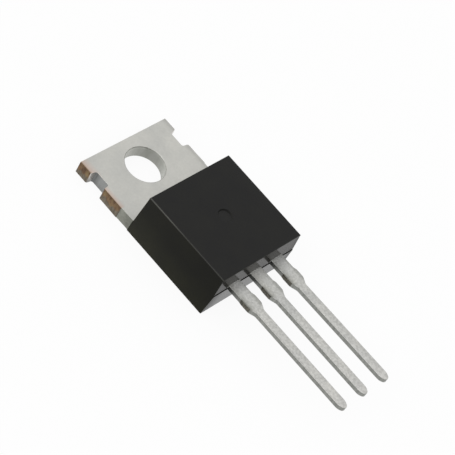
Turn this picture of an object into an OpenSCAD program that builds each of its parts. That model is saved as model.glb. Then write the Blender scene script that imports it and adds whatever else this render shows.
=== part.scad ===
// Triac in a three-lead, flat-tab power package, in millimetres.
// The part lies on its back: +Z points out of the front face, +Y towards the end of the
// tab, and the leads run towards -Y. The origin is the centre of the mounting hole, on
// the flat back face. The epoxy is moulded round the metal, so the two meet with no gap.

/* [Tab] */
// Width of the tab across its sheared lands
tab_w = 9.95; // [9.6:0.05:10.4]
// Thickness of the copper tab and header
tab_t = 1.28; // [1.1:0.01:1.4]
// Distance from the hole's centre to the end of the tab
tab_reach = 2.82; // [2.6:0.01:3.1]
// Diameter of the mounting hole
hole_d = 3.7; // [3.5:0.05:3.9]
// Roll-over left by the punch round the hole's front rim
hole_rollover = 0.12; // [0.02:0.01:0.2]
// Rounding of the tab's two outer corners
tab_corner_r = 0.05; // [0.03:0.01:0.4]
// Distance that the plated sides lie inside the sheared lands
side_recess = 0.05; // [0.03:0.01:0.15]
// Length of each sheared land at the end of the tab
end_land_len = 1.33; // [1:0.01:1.5]
// Length of each sheared land between the notch and the body
inner_land_len = 2.14; // [1.6:0.01:2.4]

/* [Side notches] */
// Length of each notch at its mouth
notch_len = 1.68; // [1.2:0.01:1.9]
// Depth of each notch from the sheared land
notch_depth = 0.6; // [0.3:0.01:0.8]
// Slope of the notch walls, as the length lost on each side from mouth to floor
notch_flare = 0.1; // [0.02:0.01:0.2]
// Fillet between the notch's floor and its walls
notch_r = 0.2; // [0.05:0.01:0.25]
// Rounding of the notch's mouth
notch_mouth_r = 0.16; // [0.03:0.01:0.2]

/* [Moulded body] */
// Distance from the hole's centre to the body, along the back face
body_start = 3.7; // [3.5:0.01:3.9]
// Length of the body from there to the parting line between the leads
body_len = 9.31; // [8.9:0.01:9.6]
// Height of the front face above the back face
body_h = 4.47; // [4.3:0.01:4.7]
// Width of the body along the back face
body_w = 9.94; // [9.6:0.01:10.4]
// Draft of the two long sides, in degrees
side_draft = 4.1; // [2:0.1:7]
// Draft of the end towards the tab, in degrees
tab_end_draft = 2.8; // [2:0.1:7]
// Draft of the lead end above the parting line, in degrees
lead_end_draft = 1.7; // [1:0.1:7]
// Draft of the lead end below the parting line, in degrees
under_draft = 3.1; // [1:0.1:5]
// Ledge at the parting line, where the lower half of the mould stood out
parting_ledge = 0.05; // [0.02:0.01:0.12]
// Rounding of the edges round the front face
front_edge_r = 0.09; // [0.03:0.01:0.25]
// Diameter of the ejector-pin mark in the front face, at its mouth
mark_d = 1.3; // [1:0.05:2]
// Depth of the ejector-pin mark
mark_depth = 0.12; // [0.03:0.01:0.2]
// Width of the slope round the mark
mark_slope = 0.07; // [0.01:0.01:0.2]
// Distance of the mark from the middle of the front face, towards the tab
mark_offset = 0.12; // [0:0.01:0.5]

/* [Leads] */
// Distance between the centres of two neighbouring leads
pitch = 2.54; // [2.4:0.01:2.7]
// Thickness of the lead strip
lead_t = 0.45; // [0.35:0.01:0.6]
// Height of the leads' lower face, and of the parting line, above the back face
lead_z = 2.37; // [2.3:0.01:2.6]
// Length of the leads outside the body
lead_len = 13.28; // [12.7:0.01:14]
// Width of a lead where it leaves the body
root_w = 1.3; // [1.15:0.01:1.36]
// Length of that wide root
root_len = 1.4; // [1.2:0.01:1.7]
// Width across the sheared stubs of the dam bar
stub_w = 1.46; // [1.4:0.01:1.6]
// Length of the stubs
stub_len = 1.1; // [0.8:0.01:1.4]
// Sideways shift of the stubs, left by the trimming punch
stub_shift = 0.03; // [0:0.01:0.05]
// Length of the shoulder between the root and the stubs
stub_step = 0.3; // [0.1:0.01:0.4]
// Rounding of the shoulders' corners
stub_r = 0.5; // [0.1:0.05:0.8]
// Length over which the lead narrows beyond the stubs
taper_len = 0.62; // [0.4:0.01:0.9]
// Width of the narrow leg
leg_w = 0.85; // [0.7:0.01:0.95]
// Length over which a lead's tip narrows
tip_len = 0.4; // [0.2:0.01:0.7]
// Width of the very end of the tip
tip_w = 0.35; // [0.2:0.01:0.5]
// Rounding where the tip begins to narrow
tip_blend = 0.8; // [0.2:0.05:1.2]
// Rounding of the two corners at the very end
tip_r = 0.3; // [0.1:0.01:0.4]

/* [Header and posts inside the body] */
// Width of the header that carries the die
header_w = 8.2; // [7.6:0.05:8.6]
// Distance from the header's end to the body's lead end
header_setback = 3.25; // [3:0.01:3.6]
// Width of the coined step that the epoxy grips along each side of the header
lock_w = 0.3; // [0.15:0.01:0.5]
// Height of that step above the back face
lock_h = 0.4; // [0.25:0.01:0.6]
// Flat length of the middle lead before it bends up from the header
joggle_run = 0.25; // [0.15:0.01:0.4]
// Angle at which the middle lead climbs to the other two
joggle_angle = 50; // [42:1:65]
// Inner radius of its two bends
bend_r = 0.25; // [0.1:0.01:0.4]
// Width of the bonding post at the inner end of each outer lead
post_w = 2.6; // [2:0.05:2.9]
// Length of the bonding post along the lead
post_len = 1.6; // [1.2:0.05:1.9]
// Distance that the post is set outwards from its lead
post_shift = 0.25; // [0.15:0.01:0.35]
// Depth of the wide root inside the body, up to the post
post_setback = 1.25; // [1:0.01:1.5]
// Rounding of the post's corners
post_r = 0.25; // [0.1:0.01:0.4]

/* [Die and bonds] */
// Width and length of the silicon die
die_w = 3.8; // [3:0.05:4.4]
// Thickness of the die
die_t = 0.28; // [0.2:0.01:0.4]
// Distance from the header's end to the middle of the die
die_setback = 2.9; // [2.7:0.05:3.1]
// Thickness of the solder under the die
solder_t = 0.05; // [0.03:0.01:0.1]
// Width of the solder fillet that shows round the die
solder_rim = 0.12; // [0.05:0.01:0.3]
// Diameter of the two main bond wires
main_wire_d = 0.38; // [0.3:0.01:0.44]
// Diameter of the gate's bond wire
gate_wire_d = 0.2; // [0.15:0.01:0.25]
// Distance between the centres of the two main wires
wire_gap = 1.0; // [0.8:0.05:1.1]
// Angle between a wire and its chord at each end, which sets how high it arches
wire_rise = 65; // [58:1:68]

/* [Hidden] */

$fn = 64;
wire_fn = 24;
eps = 0.01;
// How far a cutter or a hidden end runs past the face that bounds it
over = 1;

// Stations along the part, as distances from the hole towards the leads
body_end = body_start + body_len;
header_end = body_end - header_setback;
root_end = body_end + root_len;
stub_end = root_end + stub_len;
taper_end = stub_end + taper_len;
lead_end = body_end + lead_len;
post_near = body_end - post_setback;
post_far = post_near - post_len;
post_mid = (post_near + post_far) / 2;
die_mid = header_end - die_setback;

// Set-back of each drafted face at the front, and half widths
start_front = body_start + body_h * tan(tab_end_draft);
end_upper = body_end - parting_ledge;
end_front = end_upper - (body_h - lead_z) * tan(lead_end_draft);
end_back = body_end - lead_z * tan(under_draft);
front_half = body_w / 2 - body_h * tan(side_draft);
land_half = tab_w / 2;
side_half = land_half - side_recess;
notch_half = land_half - notch_depth;

// Stations along the tab's side
end_land_y = tab_reach - end_land_len;
notch_y = end_land_y - notch_len;
inner_land_y = notch_y - inner_land_len;

// Heights
solder_z = tab_t;
die_z = solder_z + solder_t;
die_top = die_z + die_t;
lead_top = lead_z + lead_t;

// The wires stand on feet, pressed flat by the bonding tool
foot_rise = 0.9;
foot_len = 2.4;
foot_w = 1.4;
gate_pad_inset = 0.65;
main_pad_x = -die_w / 5;
main_pad_y = die_mid + die_w / 6;

// ---- Outlines with rounded corners ----

function unit(v) = v / norm(v);
function turn(a, b, c) = (b.x - a.x) * (c.y - b.y) - (b.y - a.y) * (c.x - b.x);

// The wedge between a corner and the arc of radius r that rounds it. The arc takes up
// no more than half of either side.
module corner_wedge(before, corner, after, r) {
    u = unit(before - corner);
    v = unit(after - corner);
    half = acos(u * v) / 2;
    reach = min(r / tan(half), norm(before - corner) / 2, norm(after - corner) / 2);
    fit_r = reach * tan(half);
    middle = corner + unit(u + v) * fit_r / sin(half);
    difference() {
        polygon([corner - unit(u + v) * eps, corner + u * reach, middle, corner + v * reach]);
        translate(middle) circle(r = fit_r);
    }
}

// A polygon, listed anticlockwise, with one corner radius for each of its points
module rounded_outline(points, radii) {
    n = len(points);
    function bend(i) = turn(points[(i + n - 1) % n], points[i], points[(i + 1) % n]);
    module wedge(i)
        corner_wedge(points[(i + n - 1) % n], points[i], points[(i + 1) % n], radii[i]);
    difference() {
        union() {
            polygon(points);
            for (i = [0 : n - 1]) if (radii[i] > 0 && bend(i) < 0) wedge(i);
        }
        for (i = [0 : n - 1]) if (radii[i] > 0 && bend(i) > 0) wedge(i);
    }
}

// A YZ outline, drawn with the distance from the hole as x, run across the part
module across(width) {
    rotate([90, 0, -90]) linear_extrude(width, center = true) children();
}

// ---- The moulded form ----

module body_cross_section() {
    rounded_outline(
        [[-body_w / 2, 0], [body_w / 2, 0], [front_half, body_h], [-front_half, body_h]],
        [0, 0, front_edge_r, front_edge_r]);
}

module body_long_section() {
    rounded_outline(
        [[body_start, 0], [end_back, 0], [body_end, lead_z], [end_upper, lead_z],
         [end_front, body_h], [start_front, body_h]],
        [0, 0, 0, 0, front_edge_r, front_edge_r]);
}

// Outer form of the epoxy: the long section and the cross-section, each run through
module body_form() {
    intersection() {
        across(body_w + over) body_long_section();
        translate([0, -body_start + over, 0]) rotate([90, 0, 0])
            linear_extrude(body_len + 2 * over) body_cross_section();
    }
}

// The shallow mark of the ejector pin: a flat floor with a slope round it
module ejector_mark() {
    floor_r = mark_d / 2 - mark_slope;
    height = mark_depth + over;
    translate([0, mark_offset - (start_front + end_front) / 2, body_h - mark_depth])
        cylinder(r1 = floor_r, r2 = floor_r + height * mark_slope / mark_depth, h = height);
}

module molded_body() {
    color([0.05, 0.05, 0.05]) difference() {
        body_form();
        ejector_mark();
        header();
        middle_lead();
        lead_mt1();
        lead_gate();
        die_solder();
        triac_die();
        bond_wire_outer();
        bond_wire_inner();
        bond_wire_gate();
    }
}

// ---- Tab, header and middle lead: one piece of copper ----

// The tab's plan: lands of bare copper, a notch on each side, and the plated sides
module tab_plan() {
    wall = notch_flare;
    half = [
        [0, tab_reach], [0, -body_start - over], [side_half, -body_start - over],
        [side_half, inner_land_y], [land_half, inner_land_y], [land_half, notch_y],
        [notch_half, notch_y + wall], [notch_half, end_land_y - wall],
        [land_half, end_land_y], [land_half, tab_reach]
    ];
    radii = [
        0, 0, 0, 0, side_recess / 2, notch_mouth_r, notch_r, notch_r, notch_mouth_r,
        tab_corner_r
    ];
    for (side = [0, 1]) mirror([side, 0]) rounded_outline(half, radii);
}

// Everything on the leads' side of the plane of the body's drafted tab end
module behind_tab_end() {
    lean = tan(tab_end_draft);
    far = body_start + 2 * over;
    across(tab_w + over) polygon(
        [[body_start - over * lean, -over], [far, -over], [far, tab_t + over],
         [body_start + (tab_t + over) * lean, tab_t + over]]);
}

// The hole with its front rim rolled over
module mounting_hole() {
    translate([0, 0, -over]) cylinder(d = hole_d, h = tab_t + 2 * over);
    rotate_extrude() difference() {
        translate([0, tab_t - hole_rollover])
            square([hole_d / 2 + hole_rollover, hole_rollover + eps]);
        translate([hole_d / 2 + hole_rollover, tab_t - hole_rollover])
            circle(r = hole_rollover);
    }
}

// The header, with the step along each side that locks it into the epoxy
module header() {
    start = body_start - over;
    difference() {
        translate([-header_w / 2, -header_end, 0])
            cube([header_w, header_end - start, tab_t]);
        intersection() {
            body_form();
            for (side = [0, 1]) mirror([side, 0, 0])
                translate([header_w / 2 - lock_w, -header_end - over, -over])
                    cube([lock_w + over, header_end, lock_h + over]);
        }
    }
}

// Long section of the middle lead inside the body: flat, up the joggle, flat again
module joggle_section() {
    low = tab_t - lead_t;
    foot = header_end + joggle_run;
    head = foot + (lead_z - low) / tan(joggle_angle);
    shift = lead_t * tan(joggle_angle / 2);
    start = header_end - over;
    rounded_outline(
        [[start, low], [foot, low], [head, lead_z], [body_end + eps, lead_z],
         [body_end + eps, lead_top], [head - shift, lead_top], [foot - shift, tab_t],
         [start, tab_t]],
        [0, bend_r + lead_t, bend_r, 0, 0, bend_r + lead_t, bend_r, 0]);
}

// The middle lead, MT2, which leaves the end of the header
module middle_lead() {
    across(root_w) joggle_section();
    lead_blank(0) lead_plan();
}

module heatsink_tab() {
    color([0.72, 0.72, 0.7]) difference() {
        union() {
            difference() {
                linear_extrude(tab_t) tab_plan();
                behind_tab_end();
            }
            header();
            middle_lead();
        }
        mounting_hole();
    }
}

// ---- Leads ----

// Plan of a lead outside the body, along -Y from the body's end
module lead_plan() {
    stub_left = -stub_w / 2 + stub_shift;
    stub_right = stub_w / 2 + stub_shift;
    rounded_outline(
        [[-root_w / 2, -body_end + eps], [-root_w / 2, -root_end],
         [stub_left, -root_end - stub_step], [stub_left, -stub_end],
         [-leg_w / 2, -taper_end], [-leg_w / 2, -lead_end + tip_len],
         [-tip_w / 2, -lead_end], [tip_w / 2, -lead_end],
         [leg_w / 2, -lead_end + tip_len], [leg_w / 2, -taper_end],
         [stub_right, -stub_end], [stub_right, -root_end - stub_step],
         [root_w / 2, -root_end], [root_w / 2, -body_end + eps]],
        [0, stub_r, stub_r, stub_r, stub_r, tip_blend, tip_r,
         tip_r, tip_blend, stub_r, stub_r, stub_r, stub_r, 0]);
}

// Plan of an outer lead inside the body: the root and the wide bonding post
module post_plan(side) {
    inner = side * (pitch + post_shift - post_w / 2) - side * pitch;
    outer = side * (pitch + post_shift + post_w / 2) - side * pitch;
    left = min(inner, outer);
    right = max(inner, outer);
    rounded_outline(
        [[-root_w / 2, -post_near], [-root_w / 2, -body_end - eps],
         [root_w / 2, -body_end - eps], [root_w / 2, -post_near],
         [right, -post_near], [right, -post_far], [left, -post_far], [left, -post_near]],
        [0, 0, 0, 0, post_r, post_r, post_r, post_r]);
}

// Strip metal cut to a plan, at the leads' height and at one lead's place
module lead_blank(x) {
    translate([x, 0, lead_z]) linear_extrude(lead_t) children();
}

module outer_lead(side) {
    color([0.75, 0.75, 0.74]) lead_blank(side * pitch) {
        lead_plan();
        post_plan(side);
    }
}

module lead_mt1() { outer_lead(-1); }

module lead_gate() { outer_lead(1); }

// ---- Die, solder and bond wires ----

module die_slab(width, z, thickness) {
    translate([-width / 2, -die_mid - width / 2, z]) cube([width, width, thickness]);
}

module triac_die() {
    color([0.3, 0.32, 0.36]) die_slab(die_w, die_z, die_t);
}

module die_solder() {
    color([0.6, 0.6, 0.58]) die_slab(die_w + 2 * solder_rim, solder_z, solder_t);
}

// A wire from one foot to another: an arc that meets its chord at wire_rise at each end.
// from and to are the places of the feet, given on the faces that they stand on.
module bond_wire(from, to, d) {
    run = norm([to.x - from.x, to.y - from.y]);
    rise = to.z - from.z;
    chord = norm([run, rise]);
    radius = chord / 2 / sin(wire_rise);
    slope = atan2(rise, run);
    heading = atan2(to.y - from.y, to.x - from.x);
    height = foot_rise * d;
    centre_x = run / 2 + radius * cos(wire_rise) * sin(slope);
    centre_z = rise / 2 - radius * cos(wire_rise) * cos(slope);
    translate(from) rotate([0, 0, heading]) {
        for (at = [[0, 0], [run, rise]])
            translate([at.x - foot_len * d / 2, -foot_w * d / 2, at.y])
                cube([foot_len * d, foot_w * d, height]);
        translate([centre_x, 0, centre_z + height / 2]) rotate([90, 0, 0])
            rotate([0, 0, 90 + slope - wire_rise])
                rotate_extrude(angle = 2 * wire_rise) translate([radius, 0])
                    circle(d = d, $fn = wire_fn);
    }
}

// One of the two wires from the die's main pad to the post of lead MT1
module main_wire(place) {
    bond_wire(
        [main_pad_x + place * wire_gap / 2, -main_pad_y, die_top],
        [-pitch - post_shift + place * wire_gap / 2, -post_mid, lead_top],
        main_wire_d);
}

module bond_wire_outer() {
    color([0.8, 0.8, 0.82]) main_wire(-1);
}

module bond_wire_inner() {
    color([0.8, 0.8, 0.82]) main_wire(1);
}

module bond_wire_gate() {
    color([0.8, 0.8, 0.82]) bond_wire(
        [die_w / 2 - gate_pad_inset, -die_mid - die_w / 2 + gate_pad_inset, die_top],
        [pitch + post_shift, -post_mid, lead_top],
        gate_wire_d);
}

molded_body();
heatsink_tab();
lead_mt1();
lead_gate();
triac_die();
die_solder();
bond_wire_outer();
bond_wire_inner();
bond_wire_gate();
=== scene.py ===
import math
import bmesh
import bpy
from mathutils import Matrix, Vector


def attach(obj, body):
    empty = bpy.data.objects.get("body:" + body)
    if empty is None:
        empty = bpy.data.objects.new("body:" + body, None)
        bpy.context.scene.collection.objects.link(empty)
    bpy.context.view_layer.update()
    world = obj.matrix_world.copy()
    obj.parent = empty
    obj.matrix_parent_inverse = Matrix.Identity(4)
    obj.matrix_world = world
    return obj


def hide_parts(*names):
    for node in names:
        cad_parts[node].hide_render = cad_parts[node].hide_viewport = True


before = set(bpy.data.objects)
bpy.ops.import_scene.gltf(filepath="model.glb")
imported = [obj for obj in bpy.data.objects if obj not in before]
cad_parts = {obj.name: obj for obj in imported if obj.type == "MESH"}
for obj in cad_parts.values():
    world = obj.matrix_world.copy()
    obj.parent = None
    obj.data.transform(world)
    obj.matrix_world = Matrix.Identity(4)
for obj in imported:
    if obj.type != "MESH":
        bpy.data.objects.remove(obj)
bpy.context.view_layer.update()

mm = 0.001

# ---- Heatsink tab, header and middle lead ----
# One stamping from copper strip: the tab with its hole and notches, the header that
# carries the die, and the middle lead. It is tin plated before the packages are cut
# apart, so the lands on the tab's sides and the stubs of the dam bar show bare metal.

# Millimetres from the hole's centre on the back face: X to the gate's side, Y to the
# tab's end, Z to the front. Pairs of values run from the lower to the higher Y
land_x = 4.975
side_x = 4.925
end_land = (1.49, 2.82)
inner_land = (-2.33, -0.19)
tab_top = 1.28
hole_r = 1.85
body_y = -3.7
root_y = -13.01
stub = (-15.56, -14.5)
tip_y = -26.29
lead_len = root_y - tip_y
lead_bottom = 2.37
lead_top = 2.82
lead_pitch = 2.54


def merged_copy(node, cuts=()):
    """The solid's loose triangles as one closed mesh with whole flat faces. A cut is a
    point and a direction of a plane at which the faces stay divided."""
    bm = bmesh.new()
    bm.from_mesh(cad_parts[node].data)
    same_point = 0.0005 * mm
    bmesh.ops.remove_doubles(bm, verts=bm.verts, dist=same_point)
    for point, across in cuts:
        cut = bmesh.ops.bisect_plane(bm, geom=bm.verts[:] + bm.edges[:] + bm.faces[:],
                                     dist=same_point, plane_co=Vector(point) * mm,
                                     plane_no=across)
        for part in cut["geom_cut"]:
            if isinstance(part, bmesh.types.BMEdge):
                part.seam = True
    bmesh.ops.dissolve_limit(bm, angle_limit=math.radians(0.3), verts=bm.verts,
                             edges=bm.edges, delimit={"SEAM"})
    return bm


def corners(bm, inside):
    """Edges sharper than 40 degrees whose middle, in mm, passes the test."""
    found = []
    for edge in bm.edges:
        if len(edge.link_faces) == 2 and abs(edge.calc_face_angle_signed()) > math.radians(40):
            middle = (edge.verts[0].co + edge.verts[1].co) / 2 / mm
            if inside(middle, edge):
                found.append(edge)
    return found


def round_off(bm, edges, radius, segments=3):
    """Round some edges to a radius in mm."""
    bmesh.ops.bevel(bm, geom=edges, offset=radius * mm, offset_type="OFFSET",
                    segments=segments, profile=0.5, affect="EDGES", clamp_overlap=False,
                    material=-1)


def is_outline(edge):
    """Whether one face of the edge looks to the front or back and the other sideways."""
    a, b = (abs(face.normal.z) for face in edge.link_faces)
    return max(a, b) > 0.9 and min(a, b) < 0.1


def finish_piece(bm, name, node, coats):
    """Turn the mesh into a piece that stands for its solid. Each coat is a finish and the
    test that says which faces, by middle in mm and normal, it covers; the last one wins."""
    for face in bm.faces:
        middle = face.calc_center_median() / mm
        for index, (coat, covers) in enumerate(coats):
            if covers(middle, face.normal):
                face.material_index = index
        face.smooth = True
    for edge in bm.edges:
        edge.smooth = len(edge.link_faces) == 2 and edge.calc_face_angle() < math.radians(35)
    mesh = bpy.data.meshes.new(name)
    bm.to_mesh(mesh)
    bm.free()
    for coat, covers in coats:
        mesh.materials.append(coat.material)
    piece = bpy.data.objects.new(name, mesh)
    bpy.context.scene.collection.objects.link(piece)
    shading = piece.modifiers.new("flat faces stay flat", "WEIGHTED_NORMAL")
    shading.keep_sharp = True
    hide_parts(node)
    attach(piece, "root")


class Finish:
    """A material whose patterns are set out in millimetres on the part itself. Its plain
    colour and roughness serve wherever the patterns aren't read."""

    def __init__(self, name, colour, metallic, roughness):
        self.material = bpy.data.materials.new(name)
        self.material.use_nodes = True
        self.tree = self.material.node_tree
        self.shader = self.tree.nodes["Principled BSDF"]
        self.shader.inputs["Base Color"].default_value = (*colour, 1)
        self.shader.inputs["Metallic"].default_value = metallic
        self.shader.inputs["Roughness"].default_value = roughness
        self.place = self.tree.nodes.new("ShaderNodeTexCoord").outputs["Object"]

    def node(self, kind, inputs=(), **settings):
        """A new node; each input is given a plain value or linked to a socket."""
        node = self.tree.nodes.new(kind)
        for key, value in settings.items():
            setattr(node, key, value)
        for key, value in dict(inputs).items():
            if isinstance(value, bpy.types.NodeSocket):
                self.tree.links.new(value, node.inputs[key])
            else:
                node.inputs[key].default_value = value
        return node

    def maths(self, how, *values):
        """The result of one sum on numbers or sockets."""
        return self.node("ShaderNodeMath", dict(enumerate(values)), operation=how).outputs[0]

    def along(self, axis):
        """Millimetres along one axis of the part."""
        split = self.node("ShaderNodeSeparateXYZ", {"Vector": self.place})
        return self.maths("MULTIPLY", split.outputs[axis], 1 / mm)

    def cloud(self, per_mm, detail=3, shift=(0, 0, 0)):
        """Noise with so many lumps to the millimetre along each axis."""
        if isinstance(per_mm, (int, float)):
            per_mm = (per_mm,) * 3
        mapping = self.node("ShaderNodeMapping", {
            "Vector": self.place, "Scale": [value / mm for value in per_mm],
            "Location": shift})
        return self.node("ShaderNodeTexNoise", {
            "Vector": mapping.outputs[0], "Scale": 1, "Detail": detail}).outputs["Fac"]

    def spread(self, value, low, high, from_low=0.3, from_high=0.7):
        """A range stretched over new limits; noise keeps mostly to 0.3 to 0.7."""
        return self.node("ShaderNodeMapRange", {
            "Value": value, "From Min": from_low, "From Max": from_high,
            "To Min": low, "To Max": high}).outputs["Result"]

    def ramp(self, value, *stops):
        """Colours at given values, in rising order; a plain number is a grey."""
        ramp = self.node("ShaderNodeValToRGB", {"Fac": value})
        points = ramp.color_ramp.elements
        for index, (at, colour) in enumerate(stops):
            point = points[index] if index < 2 else points.new(at)
            point.position = at
            if isinstance(colour, (int, float)):
                colour = (colour,) * 3
            point.color = (*colour, 1)
        return ramp.outputs["Color"]

    def graded(self, distance, *stops):
        """The same by a distance in mm, over the span of the stops."""
        low, high = stops[0][0], stops[-1][0]
        share = self.spread(distance, 0, 1, low, high)
        return self.ramp(share, *[((at - low) / (high - low), colour) for at, colour in stops])

    def mix(self, share, first, second, how="MIX"):
        """Two colours mixed by a share, or laid over each other in another way."""
        mix = self.node("ShaderNodeMix", data_type="RGBA", blend_type=how)
        for socket, value in ((mix.inputs[0], share), (mix.inputs[6], first),
                              (mix.inputs[7], second)):
            if isinstance(value, bpy.types.NodeSocket):
                self.tree.links.new(value, socket)
            elif isinstance(value, tuple):
                socket.default_value = (*value, 1)
            else:
                socket.default_value = value
        return mix.outputs[2]

    def colour(self, value):
        self.tree.links.new(value, self.shader.inputs["Base Color"])

    def tint(self, shade, how="MULTIPLY", share=1.0):
        """Lay a shade over the pattern of colour so far, all over or by a share."""
        so_far = self.shader.inputs["Base Color"].links[0].from_socket
        self.colour(self.mix(share, so_far, shade, how))

    def rough(self, value):
        self.tree.links.new(value, self.shader.inputs["Roughness"])

    def relief(self, value, depth, below=None):
        """Fine relief, with its depth in mm; laid over an earlier one where given."""
        bump = self.node("ShaderNodeBump", {"Height": value, "Strength": 1,
                                            "Distance": depth * mm})
        if below:
            self.tree.links.new(below, bump.inputs["Normal"])
        self.tree.links.new(bump.outputs[0], self.shader.inputs["Normal"])
        return bump.outputs[0]


# Matt tin: smooth on the tab and speckled on the leads, with painted shade along the leads by
# the roots and stubs and painted light right at the roots
matt_tin = Finish("matt tin", (0.6, 0.6, 0.57), 1, 0.42)
tin_x = matt_tin.along("X")
tin_y = matt_tin.along("Y")
grain = matt_tin.cloud(5, 3)
matt_tin.colour(matt_tin.ramp(
    matt_tin.cloud(0.5, 1), (0.3, (0.635, 0.638, 0.608)), (0.7, (0.705, 0.703, 0.662))))
# Painted shade and painted light along the leads, by their stubs and roots
matt_tin.tint(matt_tin.graded(
    tin_y, (tip_y, (0.995, 0.985, 0.995)), (-14.985, (0.905, 0.905, 0.915)),
    (-14.328, (0.93, 0.93, 0.945)), (-13.986, (0.87, 0.87, 0.885)),
    (-13.487, (0.82, 0.82, 0.835)), (-13.342, (0.88, 0.88, 0.9)),
    (-13.211, (1.04, 1.04, 1.06)), (-3.418, (0.93, 0.925, 0.92))))
fine_speckle = matt_tin.ramp(grain, (0.3, 0.89), (0.7, 0.96))
speckle = matt_tin.ramp(grain, (0.34, 0.79), (0.66, 1.04))
on_leads = matt_tin.spread(tin_y, 1, 0, root_y, body_y)
matt_tin.tint(matt_tin.mix(on_leads, fine_speckle, speckle))

# The tin is rubbed thin over the copper along the tab's left lands, more so at its end; the
# band's tone is also painted shading of the rolled-over edge
from_edge = matt_tin.maths("ADD", tin_x, land_x)
rub_width = matt_tin.spread(tin_y, 0.5, 0.85, -0.1, 1.2)
rubbed = matt_tin.ramp(
    matt_tin.maths("DIVIDE", from_edge, rub_width), (0.03, (0.4, 0.28, 0.2)),
    (0.12, (0.82, 0.66, 0.56)), (0.22, (1.02, 0.84, 0.78)), (0.5, (1.01, 0.9, 0.87)),
    (1.0, 1))
by_lands = matt_tin.spread(tin_y, 0, 1, inner_land[0] - 0.05, inner_land[0])
matt_tin.tint(rubbed, share=by_lands)

# Painted shade darkens it along the tab's right edge and where the punch has rolled the stubs
# over
matt_tin.tint(matt_tin.graded(
    tin_x, (land_x - 0.6, 1), (land_x - 0.39, 0.95), (land_x - 0.21, 0.85), (land_x, 0.84)))
from_centre = matt_tin.maths("WRAP", tin_x, -lead_pitch / 2, lead_pitch / 2)
rolled_over_painted_shade = matt_tin.graded(
    from_centre, (-0.705, (0.3, 0.3, 0.28)), (-0.615, (0.45, 0.45, 0.43)),
    (-0.54, (0.64, 0.64, 0.62)), (-0.45, (0.82, 0.82, 0.8)), (-0.345, (0.86, 0.86, 0.84)),
    (-0.12, 1), (0.3, 1), (0.45, (0.86, 0.86, 0.85)), (0.555, (0.74, 0.74, 0.73)))
above_legs = matt_tin.spread(tin_y, 0, 1, stub[0] - 0.25, stub[0] - 0.05)
towards_root = matt_tin.spread(tin_y, 1, 0.6, stub[1] - 0.1, stub[1] + 0.2)
outside_body = matt_tin.spread(tin_y, 1, 0, root_y + 0.5, root_y + 2)
by_stubs = matt_tin.maths("MULTIPLY", above_legs, towards_root)
matt_tin.tint(rolled_over_painted_shade, share=matt_tin.maths("MULTIPLY", by_stubs, outside_body))

# Each leg gets painted light beside its left edge and painted shade towards its right one
leg_painted_light_and_shade = matt_tin.graded(
    from_centre, (-0.4, 0.9), (-0.3415, 0.925), (-0.2765, (1.035, 1.035, 1.04)), (-0.01, 1),
    (0.12, 0.985), (0.25, 0.955))
matt_tin.tint(leg_painted_light_and_shade, share=matt_tin.spread(tin_y, 1, 0, stub[0] - 0.3, stub[0]))
matt_tin.rough(matt_tin.spread(matt_tin.cloud(2.5), 0.37, 0.47))
strip_lines = matt_tin.relief(matt_tin.cloud((9, 0.5, 9), 2), 0.0006)
matt_tin.relief(grain, 0.002, strip_lines)


def streaked(name, plain, lumps, dark, light, gloss, depth=0.004):
    """Metal streaked between a dark and a light colour and between two roughnesses, over
    fine relief with its depth in mm."""
    finish = Finish(name, plain, 1, sum(gloss) / 2)
    streaks = finish.cloud(lumps)
    finish.colour(finish.ramp(streaks, (0.3, dark), (0.7, light)))
    finish.rough(finish.spread(streaks, *gloss))
    if depth:
        finish.relief(streaks, depth)
    return finish


# Streaks run the way the punch went, through the strip's thickness
punched = (3.5, 3.5, 0.6)

# Painted shade darkens the hole's wall to the right, and painted light brightens its rim at
# the front
pierced_tin = streaked("tin in the pierced hole", (0.33, 0.33, 0.305), punched,
                       (0.42, 0.425, 0.385), (0.52, 0.525, 0.485), (0.3, 0.42))
across = pierced_tin.node("ShaderNodeVectorMath", {
    0: pierced_tin.place, 1: (0.866 / mm, 0.5 / mm, 0)}, operation="DOT_PRODUCT")
pierced_tin.tint(pierced_tin.spread(across.outputs["Value"], 1, 0.6, 0.6, hole_r))
pierced_tin.tint(pierced_tin.spread(pierced_tin.along("Z"), 1, 1.25, 0.95, 1.18))

# Painted shade darkens the notch's floor beside its end wall and near the back
punched_tin = streaked("tin on a punched notch", (0.26, 0.265, 0.26), punched,
                       (0.235, 0.24, 0.235), (0.295, 0.30, 0.295), (0.3, 0.42))
punched_tin.tint(punched_tin.spread(punched_tin.along("Y"), 1.05, 0.6, 0.7, 1.35))
punched_tin.tint(punched_tin.spread(punched_tin.along("Z"), 0.86, 1, 0.1, 0.6))

# Painted light: the notch's end wall is coloured far lighter than its floor, and painted shade
# darkens it towards the back
notch_wall = streaked("tin on a notch's end wall", (0.35, 0.35, 0.335), punched,
                      (0.63, 0.60, 0.57), (0.72, 0.69, 0.65), (0.34, 0.44), 0)
notch_wall.tint(notch_wall.spread(notch_wall.along("Z"), 0.4, 1, 0.3, 1.0))

drawn_tin = streaked("tin on the strip's edge", (0.24, 0.245, 0.215), (4, 3, 4),
                     (0.21, 0.215, 0.185), (0.31, 0.315, 0.275), (0.3, 0.45))
# Painted shade darkens the strip's edge towards the body
drawn_tin.tint(drawn_tin.spread(drawn_tin.along("Y"), 0.7, 1, body_y, inner_land[0] - 0.3))

lead_side = streaked("tin on a lead's side", (0.25, 0.255, 0.235), (8, 5, 1.2),
                     (0.21, 0.215, 0.20), (0.30, 0.305, 0.285), (0.18, 0.3))
# Painted shade darkens a lead's sides towards the body
lead_side.tint(lead_side.spread(lead_side.along("Y"), 1, 0.34, stub[0], root_y))

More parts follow.
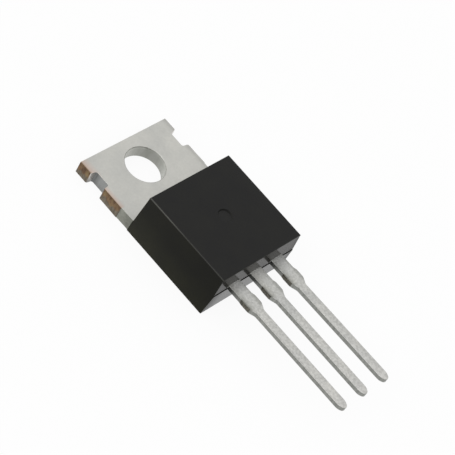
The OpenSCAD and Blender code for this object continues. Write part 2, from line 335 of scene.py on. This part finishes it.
# A sheared land is burnished where the blade went in and torn below, along a wavy line
bare_copper = Finish("sheared copper", (0.3, 0.13, 0.07), 1, 0.38)
copper_z = bare_copper.along("Z")
burnished = bare_copper.ramp(
    bare_copper.cloud((2.4, 2.4, 0.8), 3, (4, 1.5, 0)), (0.36, (0.107, 0.064, 0.039)),
    (0.5, (0.185, 0.116, 0.066)), (0.62, (0.235, 0.168, 0.088)))
burnished = bare_copper.mix(
    1.0, burnished, bare_copper.spread(copper_z, 1.03, 0.8, 0.85, 1.15), "MULTIPLY")
torn = bare_copper.ramp(
    bare_copper.cloud((7, 7, 2.5), 4), (0.35, (0.125, 0.104, 0.078)),
    (0.65, (0.215, 0.186, 0.145)))
tear_line = bare_copper.spread(bare_copper.cloud((2, 2, 0.2), 2, (2, 5, 1)), 0.3, 0.8)
above_tear = bare_copper.spread(
    bare_copper.maths("SUBTRACT", copper_z, tear_line), 0, 1, -0.12, 0.16)
bare_copper.colour(bare_copper.mix(above_tear, torn, burnished))
bare_copper.rough(bare_copper.spread(above_tear, 0.5, 0.34, 0, 1))
bare_copper.relief(bare_copper.cloud((9, 9, 1.2), 4), 0.012)

copper_lip = Finish("copper lip along a land", (0.14, 0.08, 0.05), 1, 0.42)
wear = copper_lip.cloud(4, 3)
copper_lip.colour(copper_lip.ramp(
    wear, (0.35, (0.11, 0.062, 0.038)), (0.6, (0.19, 0.12, 0.08))))
copper_lip.rough(copper_lip.spread(wear, 0.32, 0.42))

trimmed_stub = Finish("trimmed stub", (0.05, 0.048, 0.034), 1, 0.5)
tears = trimmed_stub.cloud((7, 7, 3), 4)
trimmed_stub.colour(trimmed_stub.ramp(
    tears, (0.35, (0.065, 0.066, 0.055)), (0.65, (0.19, 0.175, 0.145))))
trimmed_stub.rough(trimmed_stub.spread(tears, 0.4, 0.65))
trimmed_stub.relief(tears, 0.02)


def everywhere(at, n):
    return True


def on_land(at):
    return (end_land[0] < at.y < end_land[1] + 0.1
            or inner_land[0] < at.y < inner_land[1])


# The sides of a lead outside the body, and the trimmed ends of its two stubs
lead_coats = [
    (lead_side, lambda at, n: at.y < root_y and abs(n.z) < 0.5),
    (trimmed_stub, lambda at, n: stub[0] < at.y < stub[1] and abs(n.z) < 0.8),
]

# Planes at which a flat face stays divided: across the leads' roots and through the hole
root_cut = ((0, root_y, 0), (0, 1, 0))
hole_cuts = [((0, 0, 0), (1, 0, 0)), ((0, 0, 0), (0, 1, 0))]


def round_lead(bm, lead_x):
    """Edges of a lead outside the body: the strip's front is rolled over by the punch,
    and its back keeps a small burr that the plating covers."""
    def outline(at, edge):
        return at.y < root_y + 0.3 and abs(at.x - lead_x) < 1 and is_outline(edge)

    def front(at, edge):
        return at.z > lead_top - 0.01 and outline(at, edge)

    def back(at, edge):
        return at.z < lead_bottom + 0.01 and outline(at, edge)

    rolled_r = 0.06
    burr_r = 0.03
    round_off(bm, corners(bm, front), rolled_r)
    round_off(bm, corners(bm, back), burr_r, 2)


def spring_lead(bm, lead_x, tip_x, tip_z):
    """Handling has sprung each lead a little; the offset grows from root to tip."""
    for vert in bm.verts:
        out = root_y - vert.co.y / mm
        if out > 0 and abs(vert.co.x / mm - lead_x) < 1:
            vert.co.x += tip_x * mm * out / lead_len
            vert.co.z += tip_z * mm * out / lead_len


def tab_edge(at, edge):
    """An edge round the tab's plan, but for the small steps where the lands end."""
    return (at.y > body_y + 0.1 and at.xy.length > hole_r + 0.2 and is_outline(edge)
            and abs(at.y - inner_land[0]) > 0.03)


def front_edge(at, edge):
    return at.z > tab_top - 0.01 and tab_edge(at, edge)


def back_edge(at, edge):
    return at.z < 0.01 and tab_edge(at, edge)


def hole_rim(at, edge):
    return at.z < 0.01 and abs(at.xy.length - hole_r) < 0.05


front_r = 0.04
back_r = 0.045
rim_r = 0.03
bm = merged_copy("heatsink_tab", hole_cuts + [root_cut])
round_off(bm, corners(bm, front_edge), front_r)
round_off(bm, corners(bm, back_edge), back_r)
round_off(bm, corners(bm, hole_rim), rim_r, 2)
round_lead(bm, 0)
spring_lead(bm, 0, tip_x=0.04, tip_z=0.05)

# The punched hole comes out a little under its nominal width, and slightly off centre
hole_under = 0.06
hole_off = Vector((0.04, 0.015))
for vert in bm.verts:
    at = vert.co.xy / mm
    if at.length < hole_r + 0.2:
        at = at * (1 - hole_under / at.length) + hole_off
        vert.co.x = at.x * mm
        vert.co.y = at.y * mm

finish_piece(bm, "tab_and_middle_lead", "heatsink_tab", [
    (matt_tin, everywhere),
    (punched_tin, lambda at, n: at.y > body_y - 0.3 and abs(n.z) < 0.5),
    (pierced_tin, lambda at, n: at.xy.length < hole_r + 0.05 and abs(n.z) < 0.7),
    (notch_wall,
     lambda at, n: abs(at.x) > 4.5 and 0.9 < at.y < end_land[0] + 0.15 and n.y < -0.3),
    (drawn_tin,
     lambda at, n: body_y - 0.3 < at.y < inner_land[0] - 0.02 and abs(n.z) < 0.9),
    (bare_copper,
     lambda at, n: abs(at.x) > side_x + 0.01 and abs(n.x) > 0.7 and on_land(at)),
    (copper_lip,
     lambda at, n: abs(at.x) > side_x and 0.3 < n.z < 0.97 and on_land(at)),
] + lead_coats)

# ---- Die solder ----
# A thin layer of soft solder that holds the die on the header and carries its heat into
# the copper. It is squeezed out a little round the die's edges as it is reflowed.

soft_solder = streaked("soft solder", (0.52, 0.52, 0.5), 3, (0.42, 0.42, 0.40),
                       (0.58, 0.58, 0.56), (0.25, 0.45), 0.01)


def coat_node(name, finish):
    """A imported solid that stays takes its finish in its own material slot."""
    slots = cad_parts[name].data.materials
    slots.clear()
    slots.append(finish.material)


coat_node("die_solder", soft_solder)

# ---- Die ----
# A square chip of silicon, sawn from a wafer. Its front carries an aluminium layer for
# MT1 with a small gate corner, inside a dark glass-filled groove along the edges.

die_front = 1.61
silicon = Finish("silicon with its aluminium layer", (0.25, 0.26, 0.3), 1, 0.2)
film = silicon.cloud(5, 3)
saw_marks = silicon.ramp(
    silicon.cloud((2, 2, 25), 2), (0.3, (0.12, 0.125, 0.15)), (0.7, (0.22, 0.23, 0.27)))
metal = silicon.ramp(film, (0.3, (0.62, 0.62, 0.64)), (0.7, (0.74, 0.74, 0.76)))
on_front = silicon.spread(silicon.along("Z"), 0, 1, die_front - 0.015, die_front - 0.005)
silicon.colour(silicon.mix(on_front, saw_marks, metal))
silicon.rough(silicon.spread(film, 0.14, 0.28))
silicon.relief(film, 0.002)
coat_node("triac_die", silicon)

# ---- Outer leads ----
# MT1 and the gate, stamped in the same strip as the middle lead and held apart from the
# tab only by the epoxy. Each ends inside the body in a wide post for its bond wires.

for node, name, lead_x, tip_x in (("lead_mt1", "mt1_lead", -lead_pitch, 0.02),
                                  ("lead_gate", "gate_lead", lead_pitch, 0.12)):
    bm = merged_copy(node, [root_cut])
    round_lead(bm, lead_x)
    spring_lead(bm, lead_x, tip_x, tip_z=0.05)
    finish_piece(bm, name, node, [(matt_tin, everywhere)] + lead_coats)

# ---- Bond wires ----
# Soft drawn aluminium, pressed on by a vibrating tool without heat: two thick wires
# from the die to the MT1 post, and a thin one from the gate corner to the gate post.

drawn_wire = streaked("drawn aluminium wire", (0.8, 0.8, 0.82), 12, (0.70, 0.70, 0.72),
                      (0.84, 0.84, 0.86), (0.2, 0.36), 0.002)
for name in ("bond_wire_outer", "bond_wire_inner", "bond_wire_gate"):
    coat_node(name, drawn_wire)

# ---- Moulded body ----
# Black epoxy filled with silica, pressed round the metal in a two-part mould. The mould's
# eroded skin leaves the front matt, the ends come out smoother, an ejector pin has left
# its round mark, and the two halves meet in a fine line at the level of the leads.

front_z = 4.47
pin_y = -8.3
pin_reach = 0.7


def epoxy(name, base, roughness, grain_depth):
    """Moulding compound: a slow drift of tone under a fine grain of silica."""
    finish = Finish(name, (base, base, base), 0, roughness)
    finish.shader.inputs["IOR"].default_value = 1.3
    silica = finish.cloud(14, 3)
    finish.colour(finish.ramp(
        finish.cloud(0.6, 3), (0.3, (base * 0.85, base * 0.85, base * 0.82)),
        (0.7, (base * 1.15, base * 1.15, base * 0.95))))
    finish.tint(finish.ramp(silica, (0.3, 0.8), (0.75, 1.25)))
    finish.rough(finish.spread(silica, roughness - 0.05, roughness + 0.06))
    finish.relief(silica, grain_depth)
    return finish


eroded = epoxy("epoxy from an eroded mould", 0.0068, 0.36, 0.003)

# Painted shade darkens the long sides towards the leads and towards the front
drawn_side = epoxy("epoxy from a smooth mould wall", 0.022, 0.38, 0.002)
drawn_side.shader.inputs["Specular IOR Level"].default_value = 0.26
drawn_side.tint(drawn_side.graded(
    drawn_side.along("Y"), (root_y, (0.35, 0.35, 0.1)), (body_y, (1.0, 1.0, 0.72))))
drawn_side.tint(drawn_side.graded(drawn_side.along("Z"), (0, 1), (0.6 * front_z, 0.4)))

# The lead end is smooth, and loses its gloss towards the corners
lead_end = epoxy("epoxy from the lead end of the mould", 0.006, 0.2, 0.001)
off_centre = lead_end.maths("ABSOLUTE", lead_end.along("X"))
lead_end.rough(lead_end.spread(off_centre, 0.22, 0.38, 3.4, 4.8))
upper_end = epoxy("epoxy from the upper half's lead end", 0.006, 0.2, 0.001)
upper_end.shader.inputs["Specular IOR Level"].default_value = 0.18
upper_end.tint((0.0095, 0.0078, 0.0065), "ADD")
upper_end.rough(upper_end.spread(upper_end.along("X"), 0.2, 0.34, 4, 4.8))

# The edges round the front are rubbed pale and carry a painted highlight, more so towards the
# tab
rubbed_edge_with_painted_highlight = epoxy("rubbed epoxy edge with painted highlight", 0.07, 0.25, 0.001)
rubbed_edge_with_painted_highlight.tint(rubbed_edge_with_painted_highlight.graded(
    rubbed_edge_with_painted_highlight.along("Y"), (-8.355, 0.42), (-6.307, 1)))

# The ejector pin leaves a flat floor and a torn slope; painted light makes the slope paler on
# the side of the leads
pin_floor = epoxy("epoxy pressed flat by the ejector pin", 0.0095, 0.34, 0.002)
pin_mark = epoxy("epoxy torn round the ejector pin", 0.006, 0.5, 0.004)
pin_mark.shader.inputs["Specular IOR Level"].default_value = 0.4
pin_mark.tint(pin_mark.graded(
    pin_mark.along("Y"), (pin_y - 0.4, (0.022, 0.022, 0.02)),
    (pin_y + 0.04, (0.012, 0.012, 0.011)), (pin_y + 0.4, 0.003)), "ADD")


def upright_corner(at, edge):
    rise = abs(edge.verts[0].co.z - edge.verts[1].co.z) / mm
    return 0.3 < at.z < front_z - 0.2 and abs(at.x) > 4.6 and rise > 0.8


corner_r = 0.04
bm = merged_copy("molded_body")
round_off(bm, corners(bm, upright_corner), corner_r, 2)
finish_piece(bm, "epoxy_body", "molded_body", [
    (eroded, everywhere),
    (drawn_side, lambda at, n: abs(n.x) > 0.9),
    (lead_end, lambda at, n: n.y < -0.9),
    (upper_end, lambda at, n: n.y < -0.9 and at.z > lead_bottom),
    (rubbed_edge_with_painted_highlight,
     lambda at, n: at.z > front_z - 0.1 and abs(n.x) > 0.1 and 0.15 < n.z < 0.985),
    (pin_mark,
     lambda at, n: at.z > front_z - 0.11 and abs(at.x) < pin_reach and 0.3 < n.z < 0.7),
    (pin_floor, lambda at, n: (
        front_z - 0.2 < at.z < front_z - 0.02 and abs(at.x) < pin_reach and n.z > 0.9)),
])

# ---- Table and studio light ----
# A plain white table top under a soft white room, brighter overhead than at the horizon,
# and one large soft lamp on the left that draws a fine line along the rounded edges.

table_size = 600
table_gap = 0.01
table_mesh = bpy.data.meshes.new("table")
bm = bmesh.new()
bmesh.ops.create_grid(bm, x_segments=1, y_segments=1, size=table_size * mm)
bmesh.ops.translate(bm, verts=bm.verts, vec=(0, 0, -table_gap * mm))
bm.to_mesh(table_mesh)
bm.free()
table = bpy.data.objects.new("table", table_mesh)
bpy.context.scene.collection.objects.link(table)

# The table shows nearly pure white, itself and in gloss and glass, and keeps some shadow
whiteness = 0.92
paper = Finish("white paper", (0.9, 0.9, 0.9), 0, 0.9)
rays = paper.node("ShaderNodeLightPath").outputs
seen = paper.maths("MAXIMUM", rays["Is Camera Ray"], rays["Is Glossy Ray"])
seen = paper.maths("MAXIMUM", seen, rays["Is Transmission Ray"])
white = paper.node("ShaderNodeEmission", {"Strength": 1})
both = paper.node("ShaderNodeMixShader", {
    0: paper.maths("MULTIPLY", seen, whiteness), 1: paper.shader.outputs[0],
    2: white.outputs[0]})
paper.tree.links.new(both.outputs[0],
                     paper.tree.nodes["Material Output"].inputs["Surface"])
table_mesh.materials.append(paper.material)

horizon_level = 0.6
overhead_level = 0.92
overhead_from = 0.5
world = bpy.data.worlds.new("studio")
bpy.context.scene.world = world
world.use_nodes = True
sky = world.node_tree
toward = sky.nodes.new("ShaderNodeTexCoord")
split = sky.nodes.new("ShaderNodeSeparateXYZ")
level = sky.nodes.new("ShaderNodeMapRange")
level.inputs["From Min"].default_value = 0
level.inputs["From Max"].default_value = overhead_from
level.inputs["To Min"].default_value = horizon_level
level.inputs["To Max"].default_value = overhead_level
sky.links.new(toward.outputs["Generated"], split.inputs[0])
sky.links.new(split.outputs["Z"], level.inputs["Value"])
sky.links.new(level.outputs["Result"], sky.nodes["Background"].inputs["Strength"])
sky.nodes["Background"].inputs["Color"].default_value = (1, 1, 1, 1)

lamp_side = 0.2
lamp_away = 0.5
lamp_level = 2.2
light = bpy.data.lights.new("left softbox", "AREA")
light.shape = "SQUARE"
light.size = lamp_side
light.energy = lamp_level * math.pi * lamp_side ** 2
lamp = bpy.data.objects.new("left softbox", light)
toward_lamp = Vector((-0.70, 0.24, 0.63)).normalized()
lamp.location = toward_lamp * lamp_away
lamp.rotation_euler = toward_lamp.to_track_quat("Z", "Y").to_euler()
bpy.context.scene.collection.objects.link(lamp)

# ---- Camera ----
# A long lens on a full-frame camera, about 180 mm from the part, to the left of its leads
# and well above them, and turned so that the part lies aslant in the frame.

eye = Vector((-113.090, -51.249, 133.207)) * mm
forward = Vector((0.63868, 0.23863, -0.73153)).normalized()
right = Vector((0.66670, -0.64629, 0.37125)).normalized()
up = right.cross(forward)
camera = bpy.data.cameras.new("camera")
camera.sensor_width = 36
camera.lens = 175.42
camera.clip_start = 0.01
camera.clip_end = 5
stand = bpy.data.objects.new("camera", camera)
stand.matrix_world = Matrix((
    (right.x, up.x, -forward.x, eye.x),
    (right.y, up.y, -forward.y, eye.y),
    (right.z, up.z, -forward.z, eye.z),
    (0, 0, 0, 1)))
bpy.context.scene.collection.objects.link(stand)
bpy.context.scene.camera = stand
bpy.context.scene.view_settings.view_transform = "Standard"
